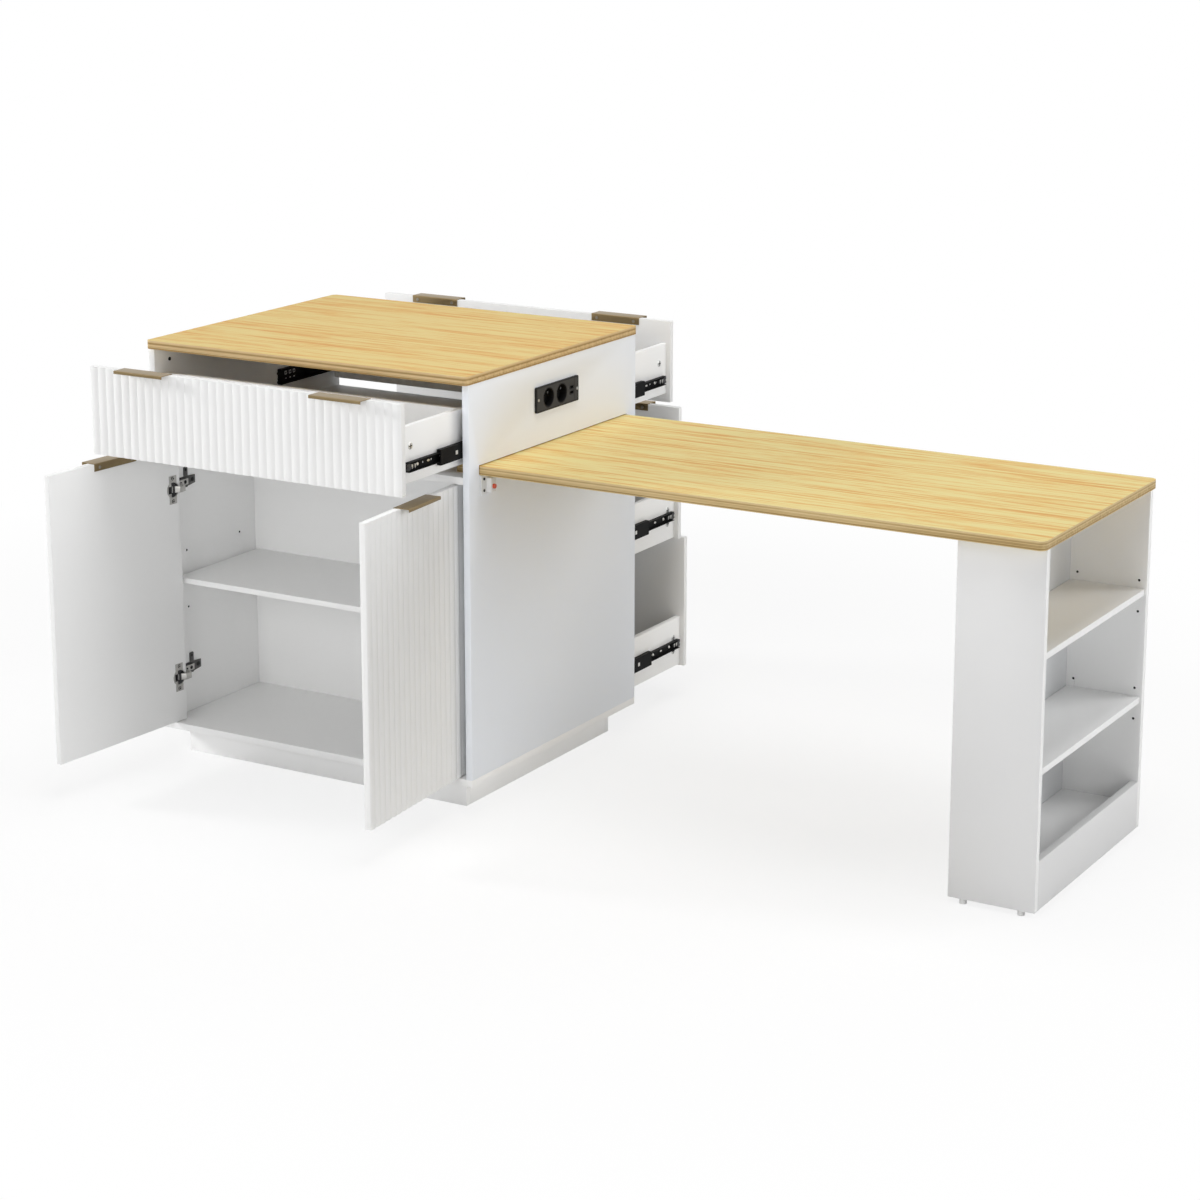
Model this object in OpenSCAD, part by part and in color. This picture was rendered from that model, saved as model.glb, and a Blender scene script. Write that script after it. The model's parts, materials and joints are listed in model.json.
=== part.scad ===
// Kitchen island unit: a cabinet with four drawers, two doors and a power strip,
// and an oak table that slides out of its side on a bookcase leg.
// Origin: centre of the cabinet's footprint, on the floor. +X points to the table
// and -Y is the front. The drawers, the doors and the table are drawn open.

/* [Cabinet] */
// Width over the two side panels
cabinet_w = 810; // [760:5:960]
// Depth over the side panels' edges
cabinet_d = 668; // [660:4:760]
// Height of the worktop's top face above the floor
cabinet_h = 920; // [900:5:980]
// Thickness of the cabinet's boards and of its fronts
board_t = 15; // [15:1:19]
// Height of the plinth
plinth_h = 60; // [50:5:90]
// Setback of the plinth's boards behind the side panels' faces
plinth_inset = 43; // [20:1:80]
// Clear height of the bay that holds the top drawers and the table
top_bay_h = 190; // [186:2:220]
// Setback of the deck's rear edge
deck_rear_inset = 12; // [0:1:30]
// Depth of the front cupboard, up to the centre partition
cupboard_d = 332; // [300:2:340]
// Diameter of the caps over the panel fasteners
fastener_d = 8; // [6:1:15]
// Distance of the fastener caps from the panels' vertical edges
fastener_inset = 50; // [30:2:70]

/* [Worktop] */
// Thickness of the worktop
worktop_t = 18; // [16:1:30]
// Overhang of the worktop at the sides
worktop_side = 1; // [0:1:20]
// Overhang of the worktop at the front and the rear
worktop_front = 9; // [2:1:40]
// Radius of the worktop's corners in plan
worktop_r = 12; // [4:1:30]

/* [Fronts] */
// Gap between a front and the cabinet round it
reveal = 2.5; // [2:0.5:4]
// Gap between neighbouring fronts
front_gap = 3; // [2.5:0.5:5]
// Width of one reed on the fronts
reed_w = 20.4; // [14:0.2:30]
// Depth of the grooves between the reeds
reed_depth = 2; // [1:0.5:2.5]

/* [Doors and hinges] */
// Angle at which the doors stand open
door_angle = 94; // [60:1:100]
// Distance of the hinge axis from the door's hinge edge
pivot_inset = 22; // [21:0.5:24]
// Distance of the hinge axis behind the door's outer face
pivot_depth = 9; // [8.5:0.5:9.5]
// Distance of the hinges from the door's ends
hinge_margin = 99; // [80:1:150]
// Diameter of the hinge cup
cup_d = 35; // [34:1:36]
// Depth of the hinge cup in the door
cup_depth = 11.5; // [11.5:0.1:12]
// Diameter of the hinge pin
hinge_pin_d = 3; // [2.5:0.5:3.5]
// Height of the hinge arm
arm_h = 14; // [10:1:15]
// Thickness of the hinge arm's steel
arm_t = 3; // [2:0.5:3]
// How far the hinge arm bows round the door's edge
arm_bow = 16; // [15:0.5:18]
// Thickness of the mounting plate under the hinge arm
mount_plate_t = 4; // [3:0.5:5]
// Length of the mounting plate
mount_plate_l = 42; // [38:1:50]
// Height of the mounting plate
mount_plate_h = 50; // [40:1:60]
// Distance of the mounting plate behind the hinge axis
mount_plate_y = 44; // [42:1:60]

/* [Cupboard shelf] */
// Thickness of the cupboard's shelf
shelf_t = 12; // [12:1:19]
// Gap between the shelf and the side panels
shelf_gap = 6; // [1:1:8]
// Setback of the shelf behind the cabinet's front edge
shelf_setback = 44; // [25:1:80]
// Height of the middle row of shelf-pin holes
shelf_hole_z = 377; // [300:1:450]
// Spacing of the rows of holes in the cupboard
shelf_hole_pitch = 64; // [32:32:96]
// Distance of the front holes from the cabinet's front edge
shelf_hole_front = 87; // [60:1:110]
// Distance of the rear holes from the partition
shelf_hole_rear = 57; // [30:1:80]
// Diameter of a shelf pin
pin_d = 5; // [4:0.5:6]
// Length of a shelf pin outside its board
pin_reach = 12; // [9:1:16]
// Depth of a shelf-pin hole
pin_hole_depth = 9; // [7:0.5:11]

/* [Drawers] */
// How far the front drawer stands open
front_pull = 213; // [0:1:219]
// How far the rear top drawer stands open
rear_top_pull = 203; // [0:1:219]
// How far the rear middle drawer stands open
rear_middle_pull = 245; // [0:1:284]
// How far the rear bottom drawer stands open
rear_bottom_pull = 275; // [0:1:284]
// Height of the drawer boxes
box_h = 114; // [80:1:118]
// Thickness of the drawer boxes' boards
box_t = 12; // [10:1:16]
// Thickness of the drawer boxes' floors
box_floor_t = 6; // [3:1:10]
// Height of a drawer's floor above its side boards' lower edges
box_floor_lift = 6; // [0:1:12]
// Distance of the closed top drawers' boxes from the cabinet's middle plane
top_box_clear = 94; // [88:1:96]
// Space between a closed deep drawer's box and the partition
deep_box_clear = 16; // [12:1:19]
// Height of the top drawers' boxes above their fronts' lower edges
top_box_lift = 20.5; // [20:0.5:30]
// Height of the deep drawers' boxes above their fronts' lower edges
deep_box_lift = 4; // [2:1:20]

/* [Drawer slides] */
// Space for a slide between a drawer box and the side panel
slide_space = 13; // [12.7:0.1:14]
// Distance of the slides' front ends behind the fronts
slide_setback = 15; // [2:1:25]
// Distance of the slides' inner ends from the inner ends of the boxes
slide_short = 3; // [1:1:15]
// Height of the slides' cabinet members
slide_h = 35; // [32:1:40]
// Height of the slides' drawer members
slide_inner_h = 20; // [16:1:22]
// Sheet thickness of the slides
slide_t = 1.2; // [1:0.1:1.4]
// Running gap between the slides' members
slide_gap = 0.3; // [0.2:0.05:0.4]
// Length of the ball retainers
retainer_l = 60; // [40:5:80]
// Height of a top drawer's slide axis above its box
top_slide_lift = 33; // [30:1:60]
// Height of a deep drawer's slide axis above its box
deep_slide_lift = 54; // [30:1:80]

/* [Handles] */
// Length of a handle
handle_l = 124; // [80:2:180]
// Reach of a handle beyond the front's face
handle_reach = 20; // [12:1:30]
// Depth of a handle's lip
handle_lip = 5; // [3:1:10]
// Height of a handle's flange behind the front
handle_flange = 15; // [12:1:20]
// Sheet thickness of a handle
handle_t = 1.5; // [1:0.1:1.9]
// Distance of the drawer handles from the cabinet's centre line
handle_x = 245; // [100:5:280]
// Distance between a handle's two screws
handle_screw_pitch = 96; // [32:32:96]

/* [Power strip] */
// Length of the strip's plate
strip_l = 168; // [164:1:175]
// Height of the strip's plate
strip_h = 54; // [52:1:60]
// Thickness of the strip's plate
strip_t = 5; // [3:0.5:8]
// Drop of the strip's centre line below the worktop
strip_drop = 75; // [68:1:86]
// Bore of a socket's recess
socket_d = 39; // [37:0.5:40]
// Depth of a socket's recess
socket_depth = 17; // [15:0.5:18]
// Distance between the two sockets
socket_pitch = 52; // [48:0.5:54]
// Position of the socket nearer to the front, along the depth
socket_y = -36; // [-40:0.5:-34]
// Position of the USB ports along the depth
usb_y = 56.5; // [55:0.5:58]
// Vertical distance between the two USB ports
usb_pitch = 11; // [9.5:0.5:14]
// Height of the sockets' housing in the side panel
housing_h = 48; // [48:0.5:50]
// Length of the sockets' housing
housing_l = 140; // [132:1:144]
// Reach of the housing behind the side panel
housing_reach = 36; // [30:1:50]

/* [Table] */
// Length of the table top
table_l = 1275; // [1230:5:1320]
// Distance of the table's edges from the cabinet's front and rear edges
table_margin = 39; // [34:1:54]
// Thickness of the table top
table_t = 18; // [16:1:18]
// Radius of the table top's corners in plan
table_r = 15; // [4:1:30]
// Length of the table's end that stays in the cabinet when it is out
table_hold = 62; // [40:1:120]
// Gap round the table in the side panel's slot
slot_gap = 2; // [1:0.5:3]

/* [Bookcase leg] */
// Depth of the bookcase leg, along the table
leg_d = 176; // [140:2:240]
// Setback of the leg from the table's long edges
leg_margin = 18; // [0:1:50]
// Setback of the leg from the table's end
leg_inset = 2; // [0:1:20]
// Thickness of the leg's boards
leg_t = 15; // [12:1:19]
// Thickness of the leg's two loose shelves
leg_shelf_t = 13; // [12:1:16]
// Gap at the ends of the leg's loose shelves
leg_shelf_gap = 1.5; // [1:0.5:4]
// Setback of the leg's loose shelves from its open side
leg_shelf_setback = 4; // [2:1:12]
// Height of the pin holes that carry the lower shelf
low_hole_z = 272; // [230:1:300]
// Height of the pin holes that carry the upper shelf
high_hole_z = 495; // [440:1:540]
// Spacing of the rows of holes in the leg
leg_hole_pitch = 32; // [25:1:50]
// Distance of the outer holes from the leg's open side
leg_hole_out = 16; // [12:1:40]
// Distance of the inner holes from the leg's closed side
leg_hole_in = 30; // [25:1:50]
// Height of the leg's lip board's top above the floor
lip_z = 109; // [80:1:150]
// Height of the bottom shelf's top above the floor
leg_floor_z = 66; // [45:1:75]
// Height of the glides under the leg
glide_h = 10; // [5:1:15]
// Diameter of the glides under the leg
glide_d = 14; // [8:1:14]

/* [Table catch] */
// Width of the catch's base plate
catch_w = 38; // [34:1:44]
// Height of the catch's base plate
catch_h = 40; // [34:1:50]
// Thickness of the catch's base plate
catch_t = 3; // [2:0.5:4]
// Gap between the catch and the table above it
catch_drop = 2; // [1:0.5:6]
// Distance of the catch from the side panel's front edge
catch_inset = 40; // [30:1:60]
// Thickness of the catch's body over its plate
catch_body_t = 11; // [9:1:16]
// Width of the catch's body
catch_body_w = 18; // [16:1:20]
// Diameter of the catch's button
button_d = 10; // [7:0.5:11]
// How far the catch's button stands out
button_reach = 4; // [3.5:0.5:6]

/* [Hidden] */

WHITE = "#f1f1ee";
OAK = "#dcba7c";
BRONZE = "#a5875b";
BLACK = "#2a2a2b";
NICKEL = "#b4b4b2";
EPS = 0.01;
seam = 0.05;            // hairline between fixed pieces that share a node
hole_gap = 0.1;         // radial gap of a shelf pin in its hole
cup_gap = 0.2;          // radial gap of a hinge cup in the door
pin_gap = 0.05;         // radial gap of a hinge pin in the cup's ears
arm_pin_gap = 0.02;     // radial gap of a hinge pin in its arm
button_gap = 0.08;      // radial gap of the button in the catch
screw_d = 7;
screw_head_t = 1.5;

// Heights
worktop_z = cabinet_h - worktop_t;
deck_z = worktop_z - top_bay_h;
base_z = plinth_h + board_t;
// Widths and depths
half_w = cabinet_w / 2;
half_d = cabinet_d / 2;
inner_x = half_w - board_t;
front_w = 2 * (inner_x - reveal);
partition_y = cupboard_d - half_d;
// Fronts: the top ones fill the top bay, the doors and deep fronts the rest
top_front_z = deck_z + reveal;
top_front_h = top_bay_h - 2 * reveal;
door_z = base_z + reveal;
door_h = deck_z - board_t - reveal - door_z;
door_w = (front_w - front_gap) / 2;
deep_front_h = (door_h - front_gap) / 2;
middle_front_z = door_z + deep_front_h + front_gap;
// Hinges
pivot_x = inner_x - reveal - pivot_inset;
pivot_y = pivot_depth - half_d;
hinge_levels = [door_z + hinge_margin, door_z + door_h - hinge_margin];
cup_wall = 1.2;
cup_flange_w = 22;
cup_flange_h = 62;
ear_t = 4;
ear_gap = 0.5;
knuckle_d = hinge_pin_d + 4;
// Table and leg
table_z = deck_z + table_t;
table_w = cabinet_d - 2 * table_margin;
table_x = half_w - table_hold + table_l;
leg_w = table_w - 2 * leg_margin;
leg_x = table_x - leg_inset;
leg_back_x = leg_x - leg_d;
leg_wall_y = leg_w / 2 - leg_t;
// Strip and catch
panel_x = half_w;
strip_face_x = panel_x + strip_t;
strip_z = worktop_z - strip_drop;
usb_body = [20, 16, 8];
usb_hole = [14, 12.2, 4.8];
fit_gap = 0.2;
catch_z = deck_z - catch_drop - catch_h;
catch_y = catch_inset - half_d;
button_y = catch_y + catch_w - catch_body_w / 2;
button_z = catch_z + catch_h / 2 - 5;

// Boxes and slides reach from the fronts towards the cabinet's middle
short_box_l = half_d - board_t - top_box_clear;
long_box_l = half_d - 2 * board_t - partition_y - deep_box_clear;
short_slide_l = short_box_l - slide_setback - slide_short;
long_slide_l = long_box_l - slide_setback - slide_short;

// Drawers: [at the rear, front_z, front_h, box_z, box_l, slide_l, slide_z, pull]
front_drawer = [false, top_front_z, top_front_h, top_front_z + top_box_lift, short_box_l,
    short_slide_l, top_front_z + top_box_lift + top_slide_lift, front_pull];
rear_top_drawer = [true, top_front_z, top_front_h, top_front_z + top_box_lift, short_box_l,
    short_slide_l, top_front_z + top_box_lift + top_slide_lift, rear_top_pull];
rear_middle_drawer = [true, middle_front_z, deep_front_h, middle_front_z + deep_box_lift,
    long_box_l, long_slide_l, middle_front_z + deep_box_lift + deep_slide_lift, rear_middle_pull];
rear_bottom_drawer = [true, door_z, deep_front_h, door_z + deep_box_lift,
    long_box_l, long_slide_l, door_z + deep_box_lift + deep_slide_lift, rear_bottom_pull];

// ---- Shared shapes ----

// A box from its low corner to its high corner
module span(low, high) {
    translate(low) cube(high - low);
}

// Both sides of the cabinet: the right-hand children and their mirror image
module both_sides() {
    children();
    mirror([1, 0, 0]) children();
}

// A board in plan with four rounded corners
module rounded_board(x0, x1, half_y, r, z, t) {
    translate([0, 0, z]) linear_extrude(t) union() {
        translate([x0 + r, -half_y]) square([x1 - x0 - 2 * r, 2 * half_y]);
        translate([x0, r - half_y]) square([x1 - x0, 2 * (half_y - r)]);
        for (x = [x0 + r, x1 - r]) for (y = [r - half_y, half_y - r])
            translate([x, y]) circle(r = r, $fn = 48);
    }
}

// A vertical board from x0 to x1, its outer face reeded at y = 0 and its back at y = board_t
module reeded_board(x0, x1, z, h) {
    count = round((x1 - x0) / reed_w);
    pitch = (x1 - x0) / count;
    arc_r = (pitch * pitch / 4 + reed_depth * reed_depth) / (2 * reed_depth);
    steps = 8;
    face = [for (i = [0 : count * steps])
        let (u = (i % steps) / steps - 0.5)
        [x0 + i * pitch / steps, arc_r - sqrt(arc_r * arc_r - u * u * pitch * pitch)]];
    translate([0, 0, z]) linear_extrude(h)
        polygon(concat(face, [[x1, board_t], [x0, board_t]]));
}

// A bent-sheet handle over a front's top edge, centred on x, with the front's face at y = 0
module handle(x, z) {
    profile = [[-handle_reach, -handle_lip], [handle_t - handle_reach, -handle_lip],
        [handle_t - handle_reach, 0], [board_t, 0], [board_t, -handle_flange],
        [board_t + handle_t, -handle_flange], [board_t + handle_t, handle_t],
        [-handle_reach, handle_t]];
    translate([x - handle_l / 2, 0, z]) rotate([90, 0, 90]) linear_extrude(handle_l)
        polygon(profile);
    for (dx = [-0.5, 0.5] * handle_screw_pitch)
        translate([x + dx, board_t + handle_t + seam, z - handle_flange / 2])
            rotate([-90, 0, 0]) cylinder(d = screw_d, h = screw_head_t, $fn = 32);
}

// A shelf-pin hole in the right-hand panel, or a pin, on the panel's inner face at x
module pin_at(x, y, z, r, into, out) {
    translate([x + into, y, z]) rotate([0, -90, 0]) cylinder(r = r, h = into + out, $fn = 32);
}

// Centres of the cupboard's shelf-pin columns and rows
pin_columns = [shelf_hole_front - half_d, partition_y - shelf_hole_rear];
pin_rows = [shelf_hole_z - shelf_hole_pitch, shelf_hole_z, shelf_hole_z + shelf_hole_pitch];

module panel_pin_holes() {
    for (y = pin_columns) for (z = pin_rows)
        pin_at(inner_x, y, z, pin_d / 2 + hole_gap, pin_hole_depth, 1);
}

// ---- Cabinet ----

module worktop() {
    color(OAK) rounded_board(-half_w - worktop_side, half_w + worktop_side,
        half_d + worktop_front, worktop_r, worktop_z, worktop_t);
}

module side_board() {
    span([inner_x, -half_d, base_z], [half_w, half_d, worktop_z]);
}

module left_side_panel() {
    color(WHITE) mirror([1, 0, 0]) difference() {
        side_board();
        panel_pin_holes();
    }
}

module right_side_panel() {
    slot_y = table_w / 2 + slot_gap;
    cut = [board_t + 2, housing_l + 2, housing_h + 2];
    color(WHITE) difference() {
        side_board();
        panel_pin_holes();
        span([inner_x - 1, -slot_y, deck_z - 0.5], [half_w + 1, slot_y, table_z + slot_gap]);
        translate([inner_x + board_t / 2, 0, strip_z]) cube(cut, center = true);
    }
}

module base_panel() {
    color(WHITE) span([-half_w, -half_d, plinth_h], [half_w, half_d, base_z]);
}

module deck_panel() {
    color(WHITE) span([-inner_x, -half_d, deck_z - board_t], [inner_x, half_d - deck_rear_inset, deck_z]);
}

module centre_partition() {
    color(WHITE) span([-inner_x, partition_y, base_z], [inner_x, partition_y + board_t, deck_z - board_t]);
}

// Four boards under the base, and a rail across the middle
module plinth_boards() {
    px = half_w - plinth_inset;
    py = half_d - plinth_inset;
    color(WHITE) {
        for (s = [0, 1]) mirror([0, s, 0]) span([-px, -py, 0], [px, board_t - py, plinth_h]);
        both_sides() span([px - board_t, board_t + seam - py, 0], [px, py - board_t - seam, plinth_h]);
        span([-board_t / 2, board_t + seam - py, 0], [board_t / 2, py - board_t - seam, plinth_h]);
    }
}

module cupboard_shelf() {
    z = shelf_hole_z + pin_d / 2;
    color(WHITE) span([shelf_gap - inner_x, shelf_setback - half_d, z],
        [inner_x - shelf_gap, partition_y - 1, z + shelf_t]);
}

module shelf_pins() {
    color(NICKEL) both_sides() for (y = pin_columns)
        pin_at(inner_x, y, shelf_hole_z, pin_d / 2, pin_hole_depth - 1, pin_reach);
}

module fastener_caps() {
    color(NICKEL) both_sides() for (y = [fastener_inset - half_d, half_d - fastener_inset])
        for (z = [base_z + 2 * board_t, worktop_z - 2 * board_t])
            pin_at(inner_x, y, z, fastener_d / 2, 0, 1.2);
}

// ---- Hinges, drawn round the right-hand pivot with the door closed ----

module at_pivot() {
    translate([pivot_x, pivot_y, 0]) children();
}

function left_of(v) = [-v.y, v.x] / norm(v);

// The points beside a route, each set off to its left and mitred
function beside(route, off) = [for (i = [0 : len(route) - 1])
    let (before = left_of(route[max(i, 1)] - route[max(i, 1) - 1]),
        after = left_of(route[min(i + 1, len(route) - 1)] - route[min(i, len(route) - 2)]),
        n = (before + after) / norm(before + after))
    route[i] + n * off / (n * before)];

function reversed(list) = [for (i = [len(list) - 1 : -1 : 0]) list[i]];

// The arm runs from its plate round the door's edge and into the cup
module hinge_arm() {
    wall_x = pivot_inset + reveal;
    seat_x = wall_x - mount_plate_t - arm_t / 2;
    bend_y = pivot_inset + 2 * arm_t;
    seat_y = mount_plate_y + arm_t;
    route = [[0, 0], [-arm_bow, 0.75 * arm_bow], [-arm_bow, bend_y], [seat_x - 2 * arm_t, seat_y - 2 * arm_t],
        [seat_x, seat_y], [seat_x, mount_plate_y + mount_plate_l - arm_t]];
    difference() {
        linear_extrude(arm_h, center = true) union() {
            circle(d = knuckle_d, $fn = 32);
            polygon(concat(beside(route, arm_t / 2), reversed(beside(route, -arm_t / 2))));
        }
        cylinder(d = hinge_pin_d + 2 * arm_pin_gap, h = arm_h + 2, center = true, $fn = 32);
    }
}

module hinge_plate() {
    wall_x = pivot_inset + reveal;
    span([wall_x - mount_plate_t + seam, mount_plate_y, -mount_plate_h / 2],
        [wall_x, mount_plate_y + mount_plate_l, mount_plate_h / 2]);
    for (z = [-1, 1] * (mount_plate_h / 2 - screw_d)) translate([wall_x - mount_plate_t,
        mount_plate_y + mount_plate_l * 2 / 3, z]) rotate([0, -90, 0])
        cylinder(d = screw_d, h = screw_head_t, $fn = 32);
}

module hinge_mounts() {
    color(NICKEL) both_sides() at_pivot() for (z = hinge_levels) translate([0, 0, z]) {
        hinge_arm();
        hinge_plate();
    }
}

module hinge_pins() {
    color(NICKEL) both_sides() at_pivot() for (z = hinge_levels)
        translate([0, 0, z]) cylinder(d = hinge_pin_d, h = arm_h + 2 * (ear_gap + ear_t),
            center = true, $fn = 32);
}

// ---- Doors, drawn round their pivot and turned open ----

module open_door(left) {
    mirror([left ? 1 : 0, 0, 0]) at_pivot() rotate(door_angle) children();
}

// A cylinder through the door's thickness, from y0 to y1
module door_bore(d, y0, y1) {
    translate([0, y0, 0]) rotate([-90, 0, 0]) cylinder(d = d, h = y1 - y0, $fn = 64);
}

back_y = board_t - pivot_depth;

module door_leaf(left) {
    color(WHITE) open_door(left) difference() {
        translate([0, -pivot_depth, 0])
            reeded_board(pivot_inset - door_w, pivot_inset, door_z, door_h);
        for (z = hinge_levels) translate([0, 0, z])
            door_bore(cup_d + 2 * cup_gap, back_y - cup_depth - 0.1, back_y + 1);
    }
}

// A cup with a flange on the door's back and two ears that turn on the hinge pin
module hinge_cup() {
    floor_y = back_y - cup_depth + cup_wall;
    ear_z = arm_h / 2 + ear_gap;
    difference() {
        union() {
            door_bore(cup_d, back_y - cup_depth, back_y + cup_wall);
            span([-cup_flange_w / 2, back_y, -cup_flange_h / 2],
                [cup_flange_w / 2, back_y + cup_wall, cup_flange_h / 2]);
        }
        door_bore(cup_d - 2 * cup_wall, floor_y, back_y + cup_wall + 1);
    }
    for (s = [0, 1]) mirror([0, 0, s]) difference() {
        span([-3.5, floor_y - EPS, ear_z], [3.5, 3.5, ear_z + ear_t]);
        translate([0, 0, ear_z - 1]) cylinder(d = hinge_pin_d + 2 * pin_gap, h = ear_t + 2, $fn = 32);
    }
    for (z = [-25, 25]) translate([0, back_y + cup_wall + seam, z]) rotate([-90, 0, 0])
        cylinder(d = screw_d, h = screw_head_t, $fn = 32);
}

module hinge_cups(left) {
    color(NICKEL) open_door(left) for (z = hinge_levels) translate([0, 0, z]) hinge_cup();
}

module door_handle(left) {
    color(BRONZE) open_door(left) translate([0, -pivot_depth, 0])
        handle(pivot_inset - door_w / 2, door_z + door_h);
}

module left_door_leaf() { door_leaf(true); }
module right_door_leaf() { door_leaf(false); }
module left_hinge_cups() { hinge_cups(true); }
module right_hinge_cups() { hinge_cups(false); }
module left_door_handle() { door_handle(true); }
module right_door_handle() { door_handle(false); }

// ---- Drawers, drawn with the front's face at y = 0 and the box behind it ----

// Puts a drawer's piece in the cabinet, pulled out by the share of its pull
module in_cabinet(drawer, share) {
    rotate(drawer[0] ? 180 : 0) translate([0, -half_d - share * drawer[7], 0]) children();
}

module drawer_front(drawer) {
    color(WHITE) in_cabinet(drawer, 1)
        reeded_board(-front_w / 2, front_w / 2, drawer[1], drawer[2]);
}

// Two side boards, an end board and a floor
module drawer_box(drawer) {
    x = inner_x - slide_space;
    end_x = x - box_t;
    z = drawer[3];
    end_y = board_t + drawer[4];
    floor_z = z + box_floor_lift;
    color(WHITE) in_cabinet(drawer, 1) {
        both_sides() span([x - box_t, board_t, z], [x, end_y, z + box_h]);
        span([seam - end_x, end_y - box_t, z], [end_x - seam, end_y, z + box_h]);
        span([seam - end_x, board_t, floor_z],
            [end_x - seam, end_y - box_t - seam, floor_z + box_floor_t]);
    }
}

module drawer_handles(drawer) {
    color(BRONZE) in_cabinet(drawer, 1) for (x = [-handle_x, handle_x])
        handle(x, drawer[1] + drawer[2]);
}

// A sheet channel along a slide of the given length, on the right-hand side. Its web
// stands web_x from the side panel and its edges reach edge_x from the panel.
module channel(drawer, length, h, web_x, edge_x) {
    y = board_t + slide_setback;
    z = drawer[6];
    web = web_x < edge_x ? [web_x, web_x + slide_t] : [web_x - slide_t, web_x];
    low = min(web_x, edge_x);
    high = max(web_x, edge_x);
    span([inner_x - web[1], y, z - h / 2], [inner_x - web[0], y + length, z + h / 2]);
    for (s = [-1, 1]) {
        edge = z + s * (h - slide_t) / 2;
        span([inner_x - high, y, edge - slide_t / 2], [inner_x - low, y + length, edge + slide_t / 2]);
    }
}

carrier_h = slide_h - 2 * (slide_t + slide_gap);
carrier_x = slide_t + slide_gap;
carrier_edge = slide_space - slide_t - 1;
runner_edge = carrier_x + slide_t + 1.2;

// The cabinet's members of a drawer's slides
module slide_rails(drawer) {
    color(BLACK) in_cabinet(drawer, 0) both_sides()
        channel(drawer, drawer[5], slide_h, 0, slide_space - 3);
}

// The middle members of a drawer's slides, with their ball retainers
module slide_carriers(drawer) {
    y = board_t + slide_setback;
    z = drawer[6];
    seat = carrier_h / 2 - slide_t;
    color(BLACK) in_cabinet(drawer, 0.5) both_sides() {
        channel(drawer, drawer[5], carrier_h, carrier_x, carrier_edge);
        for (s = [0, 1]) translate([0, 0, z]) mirror([0, 0, s])
            span([inner_x - carrier_edge, y, slide_inner_h / 2 + slide_gap],
                [inner_x - carrier_x - slide_t, y + retainer_l, seat]);
    }
}

// The drawer's members of its slides, with holes along the web
module slide_runners(drawer) {
    y = board_t + slide_setback;
    color(BLACK) in_cabinet(drawer, 1) both_sides() difference() {
        channel(drawer, drawer[5], slide_inner_h, slide_space, runner_edge);
        for (k = [1 : 6]) translate([inner_x - slide_space - 1, y + k * drawer[5] / 7, drawer[6]])
            rotate([0, 90, 0]) cylinder(d = 5, h = slide_t + 2, $fn = 24);
    }
}

module front_drawer_front() { drawer_front(front_drawer); }
module front_drawer_box() { drawer_box(front_drawer); }
module front_drawer_handles() { drawer_handles(front_drawer); }
module front_drawer_runners() { slide_runners(front_drawer); }
module front_drawer_carriers() { slide_carriers(front_drawer); }
module front_drawer_rails() { slide_rails(front_drawer); }
module rear_top_front() { drawer_front(rear_top_drawer); }
module rear_top_box() { drawer_box(rear_top_drawer); }
module rear_top_handles() { drawer_handles(rear_top_drawer); }
module rear_top_runners() { slide_runners(rear_top_drawer); }
module rear_top_carriers() { slide_carriers(rear_top_drawer); }
module rear_top_rails() { slide_rails(rear_top_drawer); }
module rear_middle_front() { drawer_front(rear_middle_drawer); }
module rear_middle_box() { drawer_box(rear_middle_drawer); }
module rear_middle_handles() { drawer_handles(rear_middle_drawer); }
module rear_middle_runners() { slide_runners(rear_middle_drawer); }
module rear_middle_carriers() { slide_carriers(rear_middle_drawer); }
module rear_middle_rails() { slide_rails(rear_middle_drawer); }
module rear_bottom_front() { drawer_front(rear_bottom_drawer); }
module rear_bottom_box() { drawer_box(rear_bottom_drawer); }
module rear_bottom_handles() { drawer_handles(rear_bottom_drawer); }
module rear_bottom_runners() { slide_runners(rear_bottom_drawer); }
module rear_bottom_carriers() { slide_carriers(rear_bottom_drawer); }
module rear_bottom_rails() { slide_rails(rear_bottom_drawer); }

// ---- Power strip in the right-hand panel ----

socket_centres = [socket_y, socket_y + socket_pitch];
socket_wall = 2;
usb_levels = [strip_z - usb_pitch / 2, strip_z + usb_pitch / 2];

// A cylinder along X, from x0 to x1
module bar(d, x0, x1, y, z) {
    translate([x0, y, z]) rotate([0, 90, 0]) cylinder(d = d, h = x1 - x0, $fn = 48);
}

module strip_plate() {
    r = 3;
    color(BLACK) difference() {
        translate([panel_x, 0, strip_z]) rotate([90, 0, 90]) linear_extrude(strip_t) union() {
            square([strip_l - 2 * r, strip_h], center = true);
            square([strip_l, strip_h - 2 * r], center = true);
            for (y = [-1, 1] * (strip_l / 2 - r)) for (z = [-1, 1] * (strip_h / 2 - r))
                translate([y, z]) circle(r = r, $fn = 32);
        }
        for (y = socket_centres)
            bar(socket_d + 2 * (socket_wall + fit_gap), panel_x - 1, strip_face_x + 1, y, strip_z);
        for (z = usb_levels) translate([panel_x + strip_t / 2, usb_y, z])
            cube([strip_t + 2, usb_body.y + 2 * fit_gap, usb_body.z + 2 * fit_gap], center = true);
    }
}

module strip_sockets() {
    floor_x = strip_face_x - socket_depth;
    color(BLACK) for (y = socket_centres) difference() {
        bar(socket_d + 2 * socket_wall, floor_x - 6, strip_face_x, y, strip_z);
        bar(socket_d, floor_x, strip_face_x + 1, y, strip_z);
        for (dy = [-9.5, 9.5]) bar(5.2, floor_x - 4, floor_x + 1, y + dy, strip_z);
    }
}

module strip_earth_pins() {
    floor_x = strip_face_x - socket_depth;
    color(NICKEL) for (y = socket_centres) bar(4.8, floor_x, strip_face_x - 3, y, strip_z + 10);
}

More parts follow.
